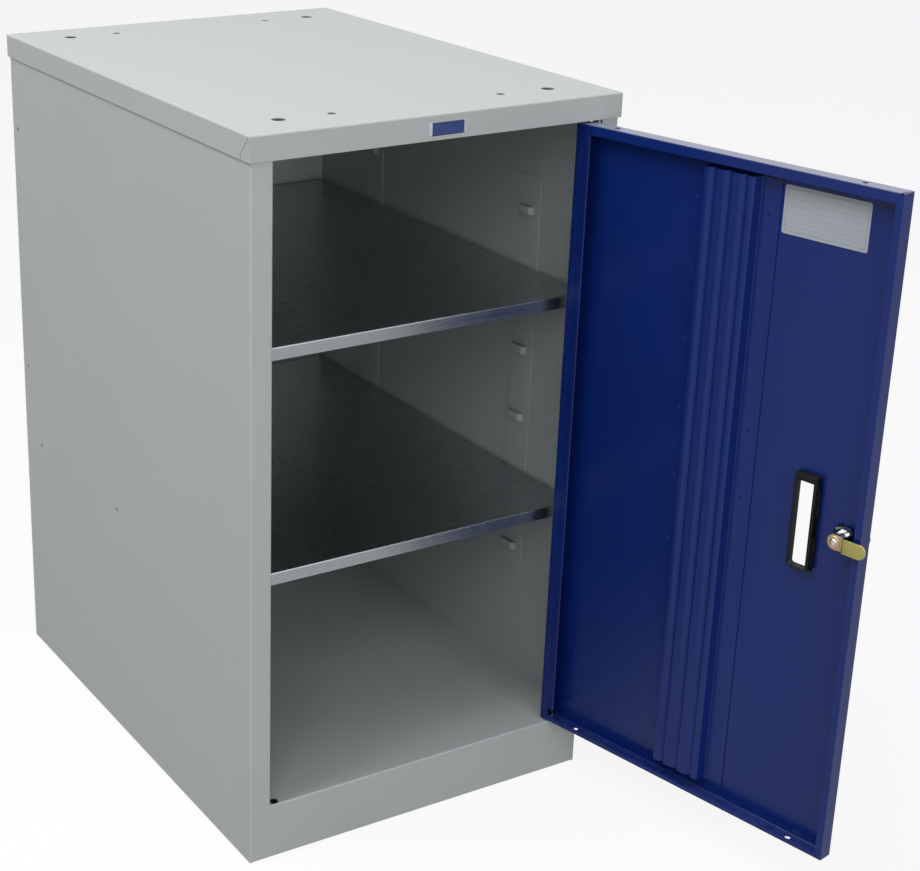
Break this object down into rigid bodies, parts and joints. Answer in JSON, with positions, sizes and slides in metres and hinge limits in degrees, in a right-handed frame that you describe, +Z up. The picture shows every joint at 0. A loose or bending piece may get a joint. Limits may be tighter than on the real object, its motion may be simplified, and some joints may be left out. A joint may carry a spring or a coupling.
{
  "type": "tool cabinet",
  "caption": "Folded-steel under-bench tool cabinet with one hinged door, grip slot, cam lock and lift-out shelves on tabbed strips.",
  "frame": {"origin": "on the floor, below the middle of the top cap", "axes": "+Z up, the door opens towards -Y, +X to the right as seen from the front"},
  "size_m": [0.491, 0.968, 0.79],
  "materials": {
    "light_grey_powder": "fine-textured powder coat, satin",
    "deep_blue_powder": "smooth powder coat, satin",
    "galvanised_steel": "galvanised, bright",
    "bright_zinc": "bright plated",
    "yellow_zinc": "yellow passivated zinc",
    "black_plastic": "matt moulded",
    "white_label": "blank film, satin",
    "blue_plate": "blank, gloss, bright rim"
  },
  "bodies": {
    "carcass": {"left_side_panel": "light_grey_powder", "right_side_panel": "light_grey_powder", "back_panel": "light_grey_powder", "base_tray": "light_grey_powder", "top_cap": "light_grey_powder", "front_rail": "light_grey_powder", "front_left_strip": "light_grey_powder", "front_right_strip": "light_grey_powder", "rear_left_strip": "light_grey_powder", "rear_right_strip": "light_grey_powder", "lower_hinge_bush": "black_plastic", "upper_hinge_bush": "black_plastic", "lower_spare_bush": "black_plastic", "upper_spare_bush": "black_plastic", "name_plate": "blue_plate"},
    "door": {"door_panel": "deep_blue_powder", "door_stiffener": "deep_blue_powder", "grip_insert": "black_plastic", "data_label": "white_label", "lower_hinge_pin": "bright_zinc", "upper_hinge_pin": "bright_zinc", "lock_barrel": "bright_zinc", "lock_nut": "bright_zinc"},
    "lock_core": {"lock_plug": "bright_zinc", "lock_cam": "yellow_zinc", "cam_screw": "bright_zinc", "lock_key": "black_plastic"},
    "upper_shelf": {"upper_shelf": "galvanised_steel"},
    "lower_shelf": {"lower_shelf": "galvanised_steel"}
  },
  "joints": [
    {"name": "door_hinge", "type": "hinge", "parent": "carcass", "child": "door", "pos_m": [0.1835, -0.2918, 0.4], "axis": [0, 0, 1], "range_deg": [-101.9, 3]},
    {"name": "lock_turn", "type": "hinge", "parent": "door", "child": "lock_core", "pos_m": [0.2425, -0.63143, 0.414], "axis": [0.9785, 0.2062, 0], "range_deg": [0, 90]},
    {"name": "upper_shelf_lift", "type": "slide", "parent": "carcass", "child": "upper_shelf", "axis": [0, 0, 1], "range_m": [0, 0.05]},
    {"name": "lower_shelf_lift", "type": "slide", "parent": "carcass", "child": "lower_shelf", "axis": [0, 0, 1], "range_m": [0, 0.05]}
  ]
}
